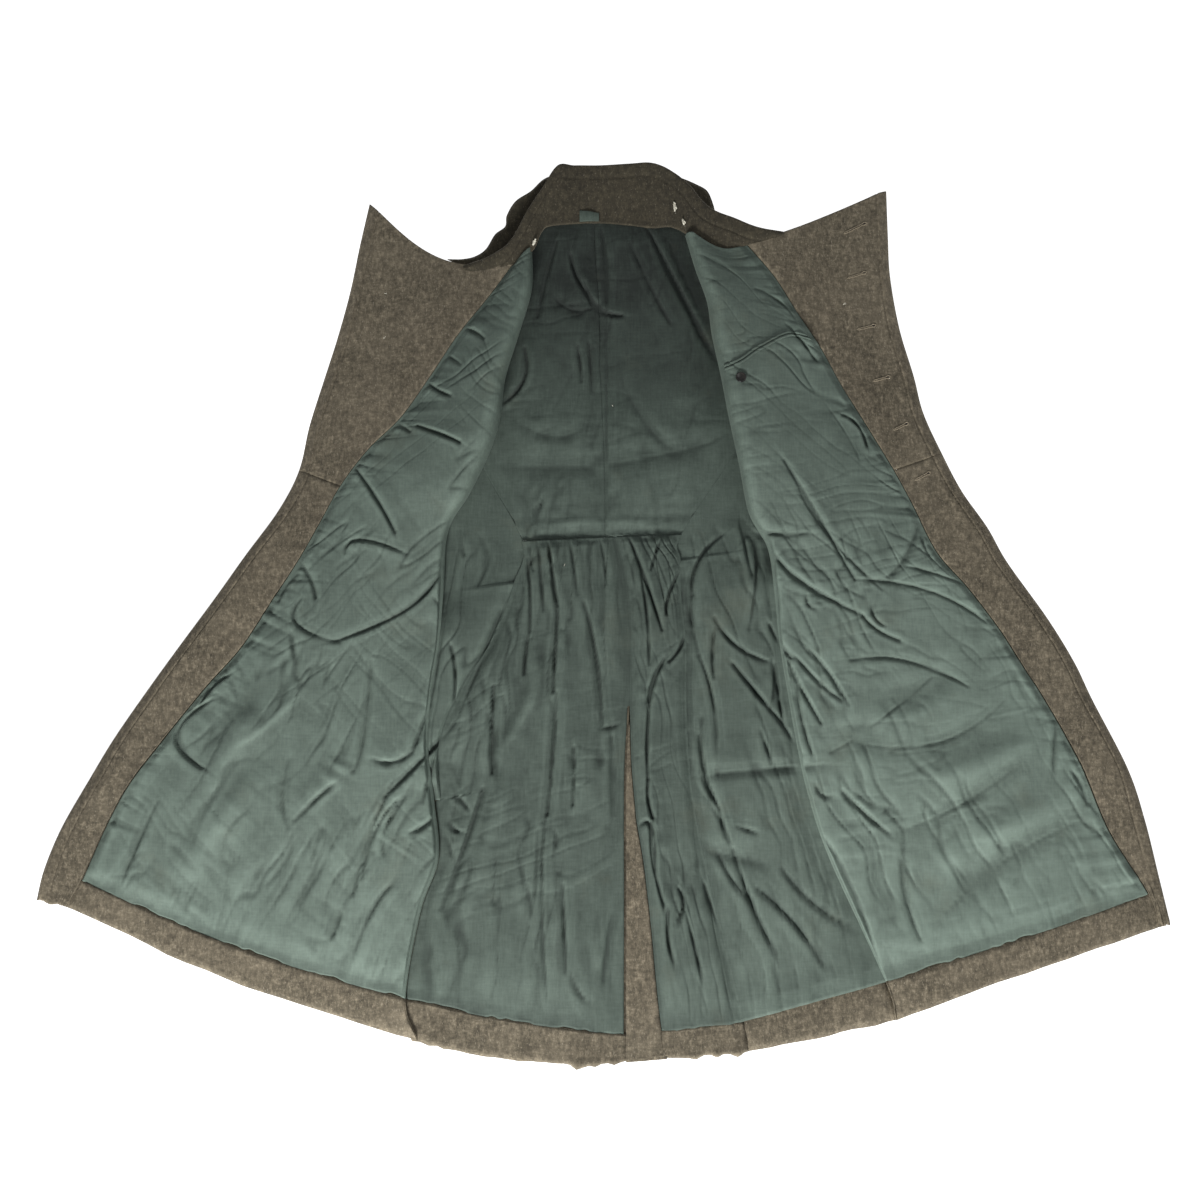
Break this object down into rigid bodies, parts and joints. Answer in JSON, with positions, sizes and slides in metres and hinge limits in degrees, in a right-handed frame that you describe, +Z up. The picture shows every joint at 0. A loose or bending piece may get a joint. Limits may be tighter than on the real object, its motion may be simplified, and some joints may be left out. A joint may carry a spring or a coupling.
{
  "type": "greatcoat laid open, lining side up",
  "caption": "A long wool greatcoat laid open on its back, lining side up, its fronts turned out, with a gathered back skirt and a centre vent.",
  "frame": {"origin": "centre of the bounding box, on the surface that the coat lies on", "axes": "+X runs across the opened coat from its right front to its left front, +Y runs up the back to the collar, +Z is up, away from the surface"},
  "size_m": [1.439, 1.198, 0.0475],
  "materials": {
    "wool": "heavy felted wool, heathered grey brown, matt",
    "collar_wool": "the same felted wool, darker with wear",
    "lining": "plain cotton, grey green, slight sheen",
    "horn": "dark horn, rubbed smooth"
  },
  "bodies": {
    "root": {"shell_front_bodice_l": "wool", "shell_front_skirt_l": "wool", "facing_bodice_l": "wool", "facing_skirt_l": "wool", "lining_front_l": "lining", "shell_back_bodice_l": "wool", "lining_back_bodice_l": "lining", "shell_back_skirt_l": "wool", "lining_back_skirt_l": "lining", "shell_side_l": "wool", "lining_side_l": "lining", "sleeve_top_l": "wool", "sleeve_under_l": "wool", "shell_front_bodice_r": "wool", "shell_front_skirt_r": "wool", "facing_bodice_r": "wool", "facing_skirt_r": "wool", "lining_front_r": "lining", "shell_back_bodice_r": "wool", "lining_back_bodice_r": "lining", "shell_back_skirt_r": "wool", "lining_back_skirt_r": "lining", "vent_facing_r": "wool", "shell_side_r": "wool", "lining_side_r": "lining", "sleeve_top_r": "wool", "sleeve_under_r": "wool", "collar_stand": "collar_wool", "collar_fall": "collar_wool", "hanger_loop": "lining", "button_1": "horn", "button_2": "horn", "button_3": "horn", "button_4": "horn", "button_5": "horn", "button_6": "horn", "pocket_jet_upper": "lining", "pocket_jet_lower": "lining", "pocket_button": "horn"}
  },
  "joints": []
}
